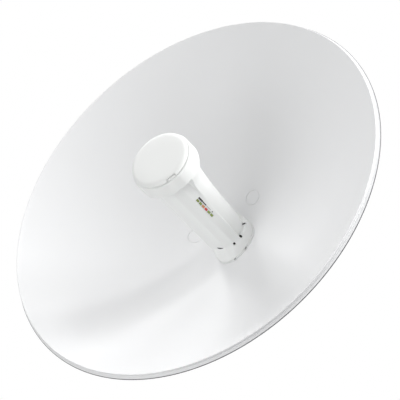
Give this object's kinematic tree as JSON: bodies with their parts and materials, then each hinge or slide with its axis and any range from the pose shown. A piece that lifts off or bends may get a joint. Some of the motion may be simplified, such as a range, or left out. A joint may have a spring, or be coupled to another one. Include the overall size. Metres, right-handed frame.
{
  "type": "wireless bridge dish antenna",
  "caption": "Round white dish reflector with a central radio tube on its axis and a tilting V-jaw bracket that straps it to a pole for a point-to-point radio link.",
  "frame": {"origin": "centre of the flat rear face of the pole bracket's web", "axes": "the dish looks along -Y, the pole behind it stands along +Z, +X is to the right seen from the front"},
  "size_m": [0.42, 0.2233, 0.42],
  "materials": {
    "white_paint": "semi-gloss powder coat",
    "white_plastic": "satin moulded",
    "zinc_steel": "zinc plated",
    "black_rubber": "matt",
    "olive_lens": "gloss",
    "green_lens": "gloss",
    "orange_lens": "gloss",
    "red_lens": "gloss"
  },
  "bodies": {
    "root": {"reflector": "white_paint", "feed_tube": "white_plastic", "feed_cap": "white_plastic", "cap_catch": "white_plastic", "base_ring": "white_plastic", "rear_hub": "white_plastic", "port_door": "white_plastic", "release_tab": "white_plastic", "dish_bracket": "zinc_steel", "pole_bracket": "zinc_steel", "dish_bolt_1": "zinc_steel", "dish_bolt_2": "zinc_steel", "dish_bolt_3": "zinc_steel", "dish_bolt_4": "zinc_steel", "tilt_pivot_bolt_left": "zinc_steel", "tilt_pivot_bolt_right": "zinc_steel", "tilt_pivot_nut_left": "zinc_steel", "tilt_pivot_nut_right": "zinc_steel", "tilt_lock_bolt_left": "zinc_steel", "tilt_lock_bolt_right": "zinc_steel", "tilt_lock_nut_left": "zinc_steel", "tilt_lock_nut_right": "zinc_steel", "cable_grommet": "black_rubber", "indicator_power": "olive_lens", "indicator_link": "green_lens", "indicator_signal_3": "green_lens", "indicator_signal_4": "green_lens", "indicator_signal_1": "orange_lens", "indicator_signal_2": "red_lens"}
  },
  "joints": []
}
